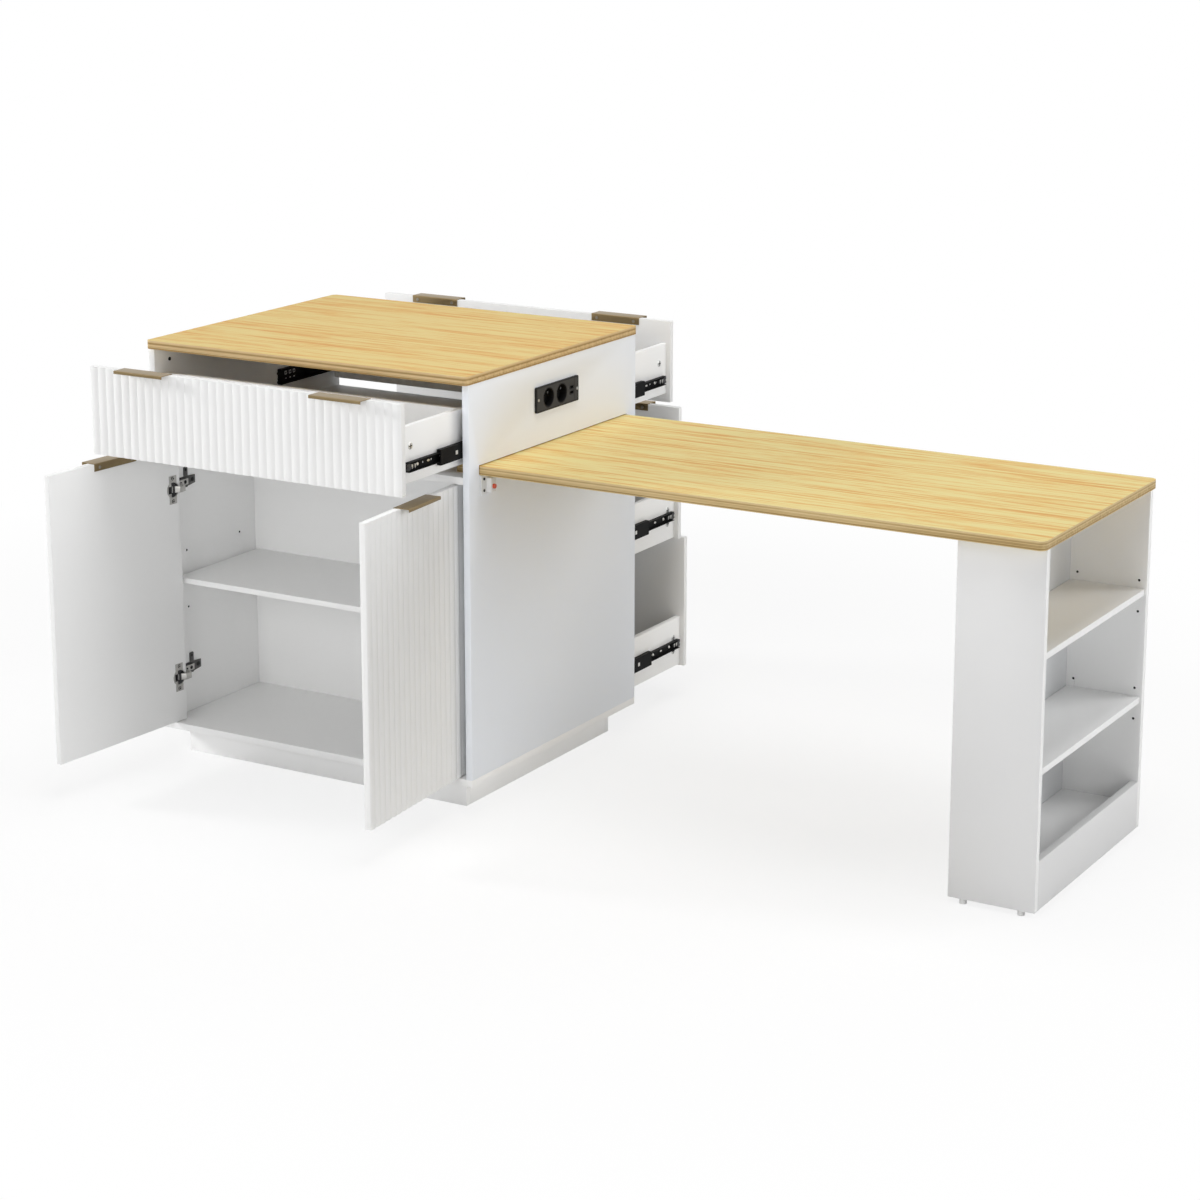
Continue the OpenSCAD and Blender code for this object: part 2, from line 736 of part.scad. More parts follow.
module strip_usb_ports() {
    color("#c9c9c6") for (z = usb_levels) difference() {
        translate([strip_face_x - usb_body.x, usb_y - usb_body.y / 2, z - usb_body.z / 2]) cube(usb_body);
        translate([strip_face_x - usb_hole.x, usb_y - usb_hole.y / 2, z - usb_hole.z / 2])
            cube(usb_hole + [1, 0, 0]);
    }
}

// An open-fronted case behind the plate, with a gland for the supply cable
module strip_housing() {
    wall = 1.5;
    back_x = inner_x - housing_reach;
    size = [panel_x - back_x, housing_l, housing_h];
    color(BLACK) {
        difference() {
            translate([back_x, -housing_l / 2, strip_z - housing_h / 2]) cube(size);
            translate([back_x + wall, wall - housing_l / 2, wall + strip_z - housing_h / 2])
                cube(size - [0, 2 * wall, 2 * wall]);
        }
        difference() {
            bar(16, back_x - 12, back_x, 0, strip_z);
            bar(7, back_x - 13, back_x + 1, 0, strip_z);
        }
    }
}

module screw_head(x, y, z) {
    difference() {
        bar(6, x, x + 1.2, y, z);
        span([x + 0.6, y - 2.2, z - 0.5], [x + 2, y + 2.2, z + 0.5]);
        span([x + 0.6, y - 0.5, z - 2.2], [x + 2, y + 0.5, z + 2.2]);
    }
}

module panel_screws() {
    color(NICKEL) {
        for (y = [-1, 1] * (strip_l / 2 - 7)) screw_head(strip_face_x, y, strip_z);
        for (z = [8, catch_h - 8])
            screw_head(panel_x + catch_t, catch_y + (catch_w - catch_body_w) / 2, catch_z + z);
    }
}

// ---- Table catch on the right-hand panel ----

module catch_body() {
    body_x = panel_x + catch_t + catch_body_t;
    color(WHITE) difference() {
        union() {
            span([panel_x, catch_y, catch_z], [panel_x + catch_t, catch_y + catch_w, catch_z + catch_h]);
            span([panel_x, catch_y + catch_w - catch_body_w, catch_z + 3],
                [body_x, catch_y + catch_w, catch_z + catch_h - 7]);
        }
        bar(button_d + 2 * button_gap, panel_x + catch_t, body_x + 1, button_y, button_z);
    }
}

module catch_button() {
    face_x = panel_x + catch_t + catch_body_t + button_reach;
    color("#c8452f") bar(button_d, panel_x + catch_t + button_reach, face_x, button_y, button_z);
}

// ---- Table and its bookcase leg ----

module table_top() {
    color(OAK) rounded_board(table_x - table_l, table_x, table_w / 2, table_r, deck_z, table_t);
}

leg_columns = [leg_back_x + leg_hole_in, leg_x - leg_hole_out];

// The front panel, with its pin holes on the inner face
module leg_side() {
    color(WHITE) difference() {
        span([leg_back_x, -leg_w / 2, glide_h], [leg_x, -leg_wall_y, deck_z]);
        for (x = leg_columns) for (z = [low_hole_z, high_hole_z]) for (k = [-1, 0, 1])
            translate([x, -leg_wall_y - pin_hole_depth, z + k * leg_hole_pitch]) rotate([-90, 0, 0])
                cylinder(r = pin_d / 2 + hole_gap, h = pin_hole_depth + 1, $fn = 32);
    }
}

module leg_front_panel() { leg_side(); }
module leg_rear_panel() { mirror([0, 1, 0]) leg_side(); }

module leg_back_panel() {
    color(WHITE) span([leg_back_x, -leg_wall_y, glide_h], [leg_back_x + leg_t, leg_wall_y, deck_z]);
}

module leg_bottom_shelf() {
    color(WHITE) span([leg_back_x + leg_t, -leg_wall_y, leg_floor_z - leg_t],
        [leg_x - leg_t, leg_wall_y, leg_floor_z]);
}

module leg_lip_board() {
    color(WHITE) span([leg_x - leg_t, -leg_wall_y, glide_h], [leg_x, leg_wall_y, lip_z]);
}

module leg_shelves() {
    y = leg_wall_y - leg_shelf_gap;
    color(WHITE) for (hole_z = [low_hole_z, high_hole_z])
        span([leg_back_x + leg_t + 1, -y, hole_z + pin_d / 2],
            [leg_x - leg_shelf_setback, y, hole_z + pin_d / 2 + leg_shelf_t]);
}

module leg_shelf_pins() {
    color(NICKEL) for (s = [0, 1]) mirror([0, s, 0]) for (x = leg_columns)
        for (z = [low_hole_z, high_hole_z]) translate([x, 1 - leg_wall_y - pin_hole_depth, z])
            rotate([-90, 0, 0]) cylinder(d = pin_d, h = pin_hole_depth - 1 + pin_reach, $fn = 32);
}

module leg_glides() {
    color(WHITE) for (s = [0, 1]) mirror([0, s, 0])
        for (x = [leg_back_x + leg_t + glide_d, leg_x - leg_t - glide_d])
            translate([x, -(leg_w - leg_t) / 2, 0]) cylinder(d = glide_d, h = glide_h, $fn = 48);
}

worktop();
left_side_panel();
right_side_panel();
base_panel();
deck_panel();
centre_partition();
plinth_boards();
cupboard_shelf();
shelf_pins();
fastener_caps();
hinge_mounts();
hinge_pins();
front_drawer_rails();
rear_top_rails();
rear_middle_rails();
rear_bottom_rails();
strip_plate();
strip_sockets();
strip_earth_pins();
strip_usb_ports();
strip_housing();
panel_screws();
catch_body();
catch_button();
left_door_leaf();
left_hinge_cups();
left_door_handle();
right_door_leaf();
right_hinge_cups();
right_door_handle();
front_drawer_front();
front_drawer_box();
front_drawer_handles();
front_drawer_runners();
rear_top_front();
rear_top_box();
rear_top_handles();
rear_top_runners();
rear_middle_front();
rear_middle_box();
rear_middle_handles();
rear_middle_runners();
rear_bottom_front();
rear_bottom_box();
rear_bottom_handles();
rear_bottom_runners();
front_drawer_carriers();
rear_top_carriers();
rear_middle_carriers();
rear_bottom_carriers();
table_top();
leg_front_panel();
leg_rear_panel();
leg_back_panel();
leg_bottom_shelf();
leg_lip_board();
leg_shelves();
leg_shelf_pins();
leg_glides();
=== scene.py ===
import json
import math
import bmesh
import bpy
from mathutils import Matrix, Vector

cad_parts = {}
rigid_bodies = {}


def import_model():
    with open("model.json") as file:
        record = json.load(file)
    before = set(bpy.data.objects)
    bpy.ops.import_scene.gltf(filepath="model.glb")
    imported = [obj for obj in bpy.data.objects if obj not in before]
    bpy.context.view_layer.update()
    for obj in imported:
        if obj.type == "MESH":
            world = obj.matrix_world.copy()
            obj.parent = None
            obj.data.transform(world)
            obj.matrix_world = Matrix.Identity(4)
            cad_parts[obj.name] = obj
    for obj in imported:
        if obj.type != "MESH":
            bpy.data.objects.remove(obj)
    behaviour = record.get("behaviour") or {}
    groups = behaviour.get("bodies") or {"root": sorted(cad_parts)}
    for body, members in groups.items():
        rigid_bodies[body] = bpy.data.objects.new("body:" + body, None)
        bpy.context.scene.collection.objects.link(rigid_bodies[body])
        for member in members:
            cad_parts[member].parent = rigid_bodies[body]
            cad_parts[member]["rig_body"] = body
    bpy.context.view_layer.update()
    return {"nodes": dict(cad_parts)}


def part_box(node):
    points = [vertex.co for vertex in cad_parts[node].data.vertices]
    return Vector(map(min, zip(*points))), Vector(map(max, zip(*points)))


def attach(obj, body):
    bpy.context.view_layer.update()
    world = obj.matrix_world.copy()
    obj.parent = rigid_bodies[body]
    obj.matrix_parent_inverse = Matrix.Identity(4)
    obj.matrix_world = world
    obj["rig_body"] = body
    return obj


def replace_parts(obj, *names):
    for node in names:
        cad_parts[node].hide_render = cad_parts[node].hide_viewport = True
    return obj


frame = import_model()
nodes = frame["nodes"]

# ---------------------------------------------------------------------------
# Camera and studio: a long lens above and to the right of the unit's front,
# over a white sweep, with a key light at the left and a pale room around.
# ---------------------------------------------------------------------------
azimuth, elevation = math.radians(30.51), math.radians(13.14)
focal_px, picture_px, film_mm = 2883.46, 1200, 36
back = Vector((math.sin(azimuth) * math.cos(elevation),
               -math.cos(azimuth) * math.cos(elevation), math.sin(elevation)))
camera = bpy.data.objects.new("camera", bpy.data.cameras.new("camera"))
bpy.context.scene.collection.objects.link(camera)
camera.location = (3.4845, -5.0440, 2.0218)
camera.rotation_mode = "QUATERNION"
camera.rotation_quaternion = (-back).to_track_quat("-Z", "Y")
camera.data.sensor_width = film_mm
camera.data.lens = focal_px * film_mm / picture_px
camera.data.shift_y = -0.1
camera.data.clip_end = 60
bpy.context.scene.camera = camera
bpy.context.scene.view_settings.view_transform = "Standard"


class Wire:
    """One socket of a material's nodes. Sums and products of wires add Math nodes."""

    def __init__(self, tree, socket=None):
        self.tree = tree
        self.socket = socket

    def node(self, kind, settings=None, sockets=None, out=0):
        """Adds a node: its settings first, then the values or wires of its sockets."""
        made = self.tree.nodes.new(kind)
        for key, value in (settings or {}).items():
            if key == "stops":
                ramp = made.color_ramp
                while len(ramp.elements) < len(value):
                    ramp.elements.new(1.0)
                for element, (place, colour) in zip(ramp.elements, value):
                    element.position = place
                    element.color = (*colour, 1.0)
            else:
                setattr(made, key, value)
        for key, value in (sockets or {}).items():
            if isinstance(value, Wire):
                self.tree.links.new(value.socket, made.inputs[key])
            else:
                made.inputs[key].default_value = value
        return Wire(self.tree, made.outputs[out] if made.outputs else None)

    def vector(self, operation, first, second=None, out=0, **named):
        """A Vector Math node."""
        sockets = {0: first, **named}
        if second is not None:
            sockets[1] = second
        return self.node("ShaderNodeVectorMath", {"operation": operation}, sockets, out)

    def _math(self, operation, first, second):
        return self.node("ShaderNodeMath", {"operation": operation}, {0: first, 1: second})

    def __add__(self, other):
        return self._math("ADD", self, other)

    def __radd__(self, other):
        return self._math("ADD", other, self)

    def __sub__(self, other):
        return self._math("SUBTRACT", self, other)

    def __rsub__(self, other):
        return self._math("SUBTRACT", other, self)

    def __mul__(self, other):
        return self._math("MULTIPLY", self, other)

    def __rmul__(self, other):
        return self._math("MULTIPLY", other, self)

    def __truediv__(self, other):
        return self._math("DIVIDE", self, other)

    def __rtruediv__(self, other):
        return self._math("DIVIDE", other, self)

    def __gt__(self, other):
        return self._math("GREATER_THAN", self, other)

    def __lt__(self, other):
        return self._math("LESS_THAN", self, other)

    def __or__(self, other):
        return self._math("MAXIMUM", self, other)

    def __abs__(self):
        return self._math("ABSOLUTE", self, 0.0)


def new_material(name):
    """A material with an empty node tree, and the wire that adds nodes to it."""
    material = bpy.data.materials.new(name)
    material.use_nodes = True
    material.node_tree.nodes.clear()
    return material, Wire(material.node_tree)


def surface(wire, shader):
    wire.node("ShaderNodeOutputMaterial", None, {"Surface": shader})


room = bpy.data.worlds.new("room")
bpy.context.scene.world = room
room.use_nodes = True
room.node_tree.nodes.clear()
sky = Wire(room.node_tree)
seen = [sky.node("ShaderNodeLightPath", out=ray)
        for ray in ("Is Camera Ray", "Is Glossy Ray", "Is Transmission Ray")]
seen_white = seen[0] + seen[1] + seen[2] > 0.5
room_light = 0.08
sky.node("ShaderNodeOutputWorld", None, {"Surface": sky.node("ShaderNodeBackground", None, {
    "Color": (1.0, 1.0, 1.0, 1.0), "Strength": room_light + (1.0 - room_light) * seen_white})})


def lamp(name, place, aim, size, watts):
    light = bpy.data.lights.new(name, "AREA")
    light.shape = "DISK"
    light.size = size
    light.energy = watts
    holder = bpy.data.objects.new(name, light)
    holder.visible_camera = False
    holder.location = place
    holder.rotation_mode = "QUATERNION"
    holder.rotation_quaternion = (Vector(aim) - Vector(place)).to_track_quat("-Z", "Y")
    bpy.context.scene.collection.objects.link(holder)


lamp("key_lamp", (-5.5, -1.9, 2.6), (0.3, -0.3, 0.6), 1.2, 210)
lamp("front_lamp", (0.6, -6.2, 2.4), (0.5, 0.0, 0.5), 3.0, 95)
lamp("low_lamp", (0.6, -3.0, 0.7), (-0.1, 0.0, 0.4), 1.0, 5)
lamp("right_front_lamp", (5.0, -5.0, 1.6), (0.4, 0.0, 0.5), 2.5, 26)
lamp("right_lamp", (7.0, -1.5, 2.4), (0.6, 0.0, 0.5), 3.0, 61)
lamp("rear_lamp", (5.0, 3.0, 2.4), (0.6, 0.0, 0.5), 3.0, 92)
lamp("top_lamp", (0.9, -0.3, 5.0), (0.8, 0.0, 0.5), 3.0, 128)

floor_half, floor_drop = 30, 0.0005
floor_mesh = bpy.data.meshes.new("floor")
floor_mesh.from_pydata([(-floor_half, -floor_half, 0), (floor_half, -floor_half, 0),
                        (floor_half, floor_half, 0), (-floor_half, floor_half, 0)],
                       [], [(0, 1, 2, 3)])
floor = bpy.data.objects.new("floor", floor_mesh)
floor.location.z = -floor_drop
bpy.context.scene.collection.objects.link(floor)
floor_white, wire = new_material("floor_white")
lit = wire.node("ShaderNodeBsdfDiffuse", None, {"Color": (0.92, 0.92, 0.92, 1.0)})
glow = wire.node("ShaderNodeEmission", None, {"Color": (1.0, 1.0, 1.0, 1.0), "Strength": 1.0})
straight = wire.node("ShaderNodeLightPath", out="Is Camera Ray")
reach = wire.vector("LENGTH", wire.node("ShaderNodeTexCoord", out="Object"), out="Value")
far = wire.node("ShaderNodeMapRange", {"interpolation_type": "SMOOTHSTEP"}, {
    "Value": reach, "From Min": 1.0, "From Max": 2.6, "To Min": 0.78, "To Max": 1.0})
surface(wire, wire.node("ShaderNodeMixShader", None, {"Fac": far * straight, 1: lit, 2: glow}))
floor_mesh.materials.append(floor_white)

# ---------------------------------------------------------------------------
# Cabinet and bookcase leg: chipboard with a satin white facing that has a
# faint embossed grain, and white bands on the boards' slightly eased edges.
# ---------------------------------------------------------------------------
def satin_board(name, along, tint=(0.945, 0.945, 0.94)):
    """White facing with a faint emboss that runs along one axis (0 is X, 2 is Z)."""
    material, wire = new_material(name)
    place = wire.node("ShaderNodeTexCoord", out="Object")
    stretch = [420.0, 420.0, 420.0]
    stretch[along] = 14.0
    emboss = wire.node("ShaderNodeTexNoise", None, {
        "Vector": wire.vector("MULTIPLY", place, stretch), "Scale": 1.0, "Detail": 3.0})
    cloud = wire.node("ShaderNodeTexNoise", None, {"Vector": place, "Scale": 3.5, "Detail": 2.0})
    colour = wire.vector("SCALE", tint, Scale=0.985 + 0.02 * cloud + 0.006 * emboss)
    bump = wire.node("ShaderNodeBump", None,
                     {"Strength": 0.05, "Distance": 0.0003, "Height": emboss})
    surface(wire, wire.node("ShaderNodeBsdfPrincipled", None, {
        "Base Color": colour, "Roughness": 0.46 + 0.1 * emboss, "Normal": bump,
        "Specular IOR Level": 0.3}))
    return material


def cleaned(node):
    """The mesh of a CAD node with its points joined and its flat faces merged."""
    mesh = bmesh.new()
    mesh.from_mesh(nodes[node].data)
    bmesh.ops.remove_doubles(mesh, verts=mesh.verts, dist=2e-6)
    bmesh.ops.dissolve_limit(mesh, angle_limit=math.radians(0.5), verts=mesh.verts,
                             edges=mesh.edges)
    return mesh


def piece_of(mesh, name, body, materials, ease=0.0):
    """A piece that rides on a body, from a mesh whose long sharp edges are eased."""
    eased_from, shaded_below = math.radians(50), math.radians(30)
    if ease:
        sharp = [e for e in mesh.edges if len(e.link_faces) == 2 and e.calc_length() > 8 * ease
                 and e.calc_face_angle(0) > eased_from]
        bmesh.ops.bevel(mesh, geom=sharp, offset=ease, segments=2, profile=0.5,
                        affect="EDGES", clamp_overlap=False)
    for e in mesh.edges:
        e.smooth = len(e.link_faces) == 2 and e.calc_face_angle(0) < shaded_below
    for f in mesh.faces:
        f.smooth = True
    data = bpy.data.meshes.new(name)
    mesh.to_mesh(data)
    mesh.free()
    for material in materials:
        data.materials.append(material)
    piece = bpy.data.objects.new(name, data)
    bpy.context.scene.collection.objects.link(piece)
    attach(piece, body)
    return piece


bore_face = 3e-5    # faces smaller than this, in square metres, lie in a drilled hole


def eased(node, material, ease=0.0006, bores=None):
    """A copy of a CAD node with eased edges, in the node's place."""
    mesh = cleaned(node)
    for face in mesh.faces:
        face.material_index = 1 if bores and face.calc_area() < bore_face else 0
    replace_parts(piece_of(mesh, node + "_eased", nodes[node]["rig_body"],
                         [material, bores] if bores else [material], ease), node)


# The real boards look like one white. These whites differ from board to board only to meet
# the tones of the photograph, so under other light the boards won't match each other.
upright_white = satin_board("upright_white", 2)
flat_white = satin_board("flat_white", 0)
# The walls of the drilled holes are near black: painted shade in the holes.
bore_painted_shade = satin_board("bore_painted_shade", 2, (0.02, 0.02, 0.02))
# The right side panel's darker, bluer white is painted shade.
side_shaded_white = satin_board("side_shaded_white", 2, (0.85, 0.88, 0.93))
eased("right_side_panel", side_shaded_white, bores=bore_painted_shade)
eased("left_side_panel", upright_white, bores=bore_painted_shade)
eased("centre_partition", upright_white)
for node in ("base_panel", "deck_panel", "plinth_boards", "cupboard_shelf", "leg_bottom_shelf",
             "leg_shelves"):
    eased(node, flat_white)
# The leg's lip board and back panel take darker copies of the board white: painted shade.
leg_shaded_white = satin_board("leg_shaded_white", 2, (0.79, 0.79, 0.79))
eased("leg_rear_panel", upright_white, bores=bore_painted_shade)
eased("leg_back_panel", satin_board("leg_back_shaded_white", 2, (0.71, 0.72, 0.73)))
eased("leg_lip_board", leg_shaded_white)
# The leg's front panel takes the plain white on its outer +X edge and the darker leg white on its
# other faces: painted shade.
mesh = cleaned("leg_front_panel")
for face in mesh.faces:
    drilled, outer = face.calc_area() < bore_face, face.normal.x > 0.9
    face.material_index = 2 if drilled else 1 if outer else 0
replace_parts(piece_of(mesh, "leg_front_panel_shaded", "table",
                     [leg_shaded_white, upright_white, bore_painted_shade], 0.0006), "leg_front_panel")

# ---------------------------------------------------------------------------
# Worktop and table top: board faced with pale straight-grained oak and bound
# with a striped oak edge band. The corners are rounded in plan.
# ---------------------------------------------------------------------------
def oak(name, seed, underside, thick, tint, edge_tint):
    """Pale oak whose grain runs along X, with a striped band on the edges."""
    material, wire = new_material(name)
    place = wire.node("ShaderNodeTexCoord", out="Object")
    shifted = wire.vector("ADD", place, (seed, seed, 0.0))

    def grain(along, across, detail, distortion=0.0):
        return wire.node("ShaderNodeTexNoise", None, {
            "Vector": wire.vector("MULTIPLY", shifted, (along, across, across)),
            "Scale": 1.0, "Detail": detail, "Distortion": distortion})

    broad = grain(1.8, 26.0, 4.0, 0.7)
    narrow = grain(4.5, 130.0, 3.0, 0.3)
    fibre = grain(24.0, 520.0, 3.0)
    dashes = wire.node("ShaderNodeMapRange", {"interpolation_type": "SMOOTHSTEP"}, {
        "Value": grain(3.6, 190.0, 2.0, 0.2), "From Min": 0.52, "From Max": 0.68})
    figure = 0.30 * broad + 0.46 * narrow + 0.26 * fibre - 0.10 * dashes
    tone = wire.node("ShaderNodeValToRGB", {"stops": [
        (0.38, (0.66, 0.355, 0.095)), (0.435, (0.72, 0.455, 0.145)),
        (0.48, (0.745, 0.565, 0.22)), (0.54, (0.765, 0.655, 0.29))]}, {"Fac": figure})
    level = (wire.node("ShaderNodeSeparateXYZ", None, {"Vector": place}, "Z") - underside) / thick
    plies = wire.node("ShaderNodeTexNoise", {"noise_dimensions": "1D"},
                      {"W": level * 3.4 + seed, "Scale": 1.0, "Detail": 2.0})
    # The band's plies are striped, and the band lightens towards its top edge: a painted highlight.
    band = wire.node("ShaderNodeValToRGB", {"stops": [
        (0.40, (0.36, 0.24, 0.09)), (0.5, (0.56, 0.41, 0.19)),
        (0.60, (0.70, 0.55, 0.30))]}, {"Fac": (plies + 0.3 * (narrow - 0.5)) | (level - 0.28)})
    facing = wire.node("ShaderNodeNewGeometry", out="Normal")
    on_edge = abs(wire.node("ShaderNodeSeparateXYZ", None, {"Vector": facing}, "Z")) < 0.5
    colour = wire.node("ShaderNodeMix", {"data_type": "RGBA"}, {
        0: on_edge, 6: wire.vector("MULTIPLY", tone, tint),
        7: wire.vector("MULTIPLY", band, edge_tint)}, 2)
    bump = wire.node("ShaderNodeBump", None,
                     {"Strength": 0.12, "Distance": 0.0003, "Height": fibre})
    surface(wire, wire.node("ShaderNodeBsdfPrincipled", None, {
        "Base Color": colour, "Roughness": 0.52 + 0.12 * narrow, "Normal": bump,
        "Specular IOR Level": 0.2}))
    return material


# Both tops look like one oak. Their tints differ only to meet the tones of the photograph.
# The differences between these tints and edge tints are painted light and shade on copies of one
# oak.
for node, seed, tint, edge_tint in (
        ("worktop", 3.1, (0.91, 0.84, 0.79), (0.97, 0.92, 0.92)),
        ("table_top", 7.7, (0.98, 0.97, 0.98), (0.92, 0.90, 0.88))):
    low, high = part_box(node)
    eased(node, oak(node + "_oak", seed, low.z, high.z - low.z, tint, edge_tint), 0.0012)

# ---------------------------------------------------------------------------
# Drawer fronts and doors: white board with its face milled into rounded
# upright reeds. The drawer boxes behind the fronts are plain white board.
# ---------------------------------------------------------------------------
drawers = ("front_drawer", "rear_top", "rear_middle", "rear_bottom")
# The white of the fronts and doors is a darker copy of the board white: painted shade.
front_shaded_white = satin_board("front_shaded_white", 2, (0.87, 0.87, 0.865))
for node in ["left_door_leaf", "right_door_leaf"] + [d + "_front" for d in drawers]:
    eased(node, front_shaded_white, 0.0005)
for node in [d + "_box" for d in drawers]:
    eased(node, flat_white)

# ---------------------------------------------------------------------------
# Handles: bent aluminium strip in satin bronze with rounded folds, hooked
# over a front's top edge and screwed to its back.
# ---------------------------------------------------------------------------
def satin_metal(name, tint, rough, metallic=1.0, along=0, lines=900.0, specular=0.2):
    """Metal with fine brush lines along one axis and a slight cloudiness."""
    material, wire = new_material(name)
    place = wire.node("ShaderNodeTexCoord", out="Object")
    stretch = [lines] * 3
    stretch[along] = lines / 40
    brush = wire.node("ShaderNodeTexNoise", None, {
        "Vector": wire.vector("MULTIPLY", place, stretch), "Scale": 1.0, "Detail": 2.0})
    cloud = wire.node("ShaderNodeTexNoise", None, {"Vector": place, "Scale": 60.0, "Detail": 3.0})
    colour = wire.vector("SCALE", tint, Scale=0.9 + 0.12 * brush + 0.08 * cloud)
    bump = wire.node("ShaderNodeBump", None,
                     {"Strength": 0.08, "Distance": 0.0002, "Height": brush})
    surface(wire, wire.node("ShaderNodeBsdfPrincipled", None, {
        "Base Color": colour, "Metallic": metallic, "Normal": bump, "Specular IOR Level": specular,
        "Roughness": rough - 0.08 + 0.16 * brush}))
    return material


def solids_in(mesh):
    """The faces of a mesh, grouped by the solid that they belong to."""
    left, solids = set(mesh.faces), []
    while left:
        solid, queue = [], [left.pop()]
        while queue:
            face = queue.pop()
            solid.append(face)
            near = {f for e in face.edges for f in e.link_faces} & left
            left -= near
            queue.extend(near)
        solids.append(solid)
    return solids


def length_of(solid):
    """The longest side of the box round a group of faces."""
    points = [v.co for f in solid for v in f.verts]
    return max(max(p[i] for p in points) - min(p[i] for p in points) for i in (0, 1, 2))


bronze = satin_metal("bronze", (0.275, 0.205, 0.108), 0.38)
zinc = satin_metal("zinc", (0.66, 0.65, 0.62), 0.3, 1.0, 2, 500.0)
screw_zinc = satin_metal("screw_zinc", (0.36, 0.33, 0.27), 0.35, 1.0, 2, 500.0)
screw_longest, fold_shortest, flange_face = 0.02, 0.08, 4e-4
for node in ["left_door_handle", "right_door_handle"] + [d + "_handles" for d in drawers]:
    mesh = cleaned(node)
    for solid in solids_in(mesh):
        is_screw = length_of(solid) < screw_longest
        for face in solid:
            face.material_index = 1 if is_screw else 0
    folds = [e for e in mesh.edges if e.calc_length() > fold_shortest and e.is_convex
             and min(f.calc_area() for f in e.link_faces) > flange_face]
    bmesh.ops.bevel(mesh, geom=folds, offset=0.0016, segments=4, profile=0.5, affect="EDGES")
    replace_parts(piece_of(mesh, node + "_bent", nodes[node]["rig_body"],
                         [bronze, screw_zinc], 0.00025), node)

# ---------------------------------------------------------------------------
# Drawer slides: black ball-bearing slides of three nested steel channels,
# with release levers, bright tabs and screws, and cams over the box's joints.
# ---------------------------------------------------------------------------
black_steel = satin_metal("black_steel", (0.005, 0.005, 0.0055), 0.5, 0.0, 1, specular=0.07)


def finish_with(thing, material):
    """Gives all of a CAD node one material."""
    thing.data.materials.clear()
    thing.data.materials.append(material)
    for face in thing.data.polygons:
        face.material_index = 0


def moulded(name, tint, rough, specular=0.4):
    """Plastic with a fine matt texture."""
    material, wire = new_material(name)
    place = wire.node("ShaderNodeTexCoord", out="Object")
    grit = wire.node("ShaderNodeTexNoise", None, {"Vector": place, "Scale": 2600.0, "Detail": 2.0})
    cloud = wire.node("ShaderNodeTexNoise", None, {"Vector": place, "Scale": 90.0, "Detail": 2.0})
    bump = wire.node("ShaderNodeBump", None, {"Strength": 0.15, "Distance": 0.0001, "Height": grit})
    surface(wire, wire.node("ShaderNodeBsdfPrincipled", None, {
        "Base Color": wire.vector("SCALE", tint, Scale=0.92 + 0.1 * grit + 0.06 * cloud),
        "Roughness": rough + 0.1 * (grit - 0.5), "Normal": bump, "Specular IOR Level": specular}))
    return material


def raised(outline, low, high, place):
    """Points and faces of a flat part: an outline in a matrix's XY plane, in millimetres."""
    count = len(outline)
    points = [place @ Vector((x / 1e3, y / 1e3, z / 1e3)) for z in (low, high) for x, y in outline]
    sides = [(k, (k + 1) % count, (k + 1) % count + count, k + count) for k in range(count)]
    return points, sides + [tuple(range(count)), tuple(range(count, 2 * count))]


def turned(profile, place, steps):
    """Points and faces of (radius, height) pairs in millimetres, turned round a matrix's Z axis."""
    points = [place @ Vector((r * math.cos(k * math.tau / steps) / 1e3,
                              r * math.sin(k * math.tau / steps) / 1e3, h / 1e3))
              for r, h in profile for k in range(steps)]
    faces = [(i * steps + k, i * steps + (k + 1) % steps, (i + 1) * steps + (k + 1) % steps,
              (i + 1) * steps + k) for i in range(len(profile) - 1) for k in range(steps)]
    last = (len(profile) - 1) * steps
    return points, faces + [tuple(range(steps)), tuple(range(last, last + steps))]


def joined(parts):
    """One mesh from several lists of points and faces."""
    mesh = bmesh.new()
    for points, faces in parts:
        corners = [mesh.verts.new(point) for point in points]
        for face in faces:
            mesh.faces.new([corners[k] for k in face])
    bmesh.ops.recalc_face_normals(mesh, faces=mesh.faces)
    return mesh


def ring_of(radius, steps, wide):
    """An oval outline, wide times as long as it is high."""
    return [(wide * radius * math.cos(k * math.tau / steps),
             radius * math.sin(k * math.tau / steps)) for k in range(steps)]


def cross_of(reach, arm):
    """The outline of a cross slot, by half its length and half its width."""
    return [(-reach, -arm), (-arm, -arm), (-arm, -reach), (arm, -reach), (arm, -arm), (reach, -arm),
            (reach, arm), (arm, arm), (arm, reach), (-arm, reach), (-arm, arm), (-reach, arm)]


def upright(normal, x, run, y, z):
    """A place on an upright face: X runs along the depth, Y is up and Z is the normal."""
    return Matrix(((0, 0, normal, x), (run, 0, 0, y), (0, 1, 0, z), (0, 0, 0, 1)))


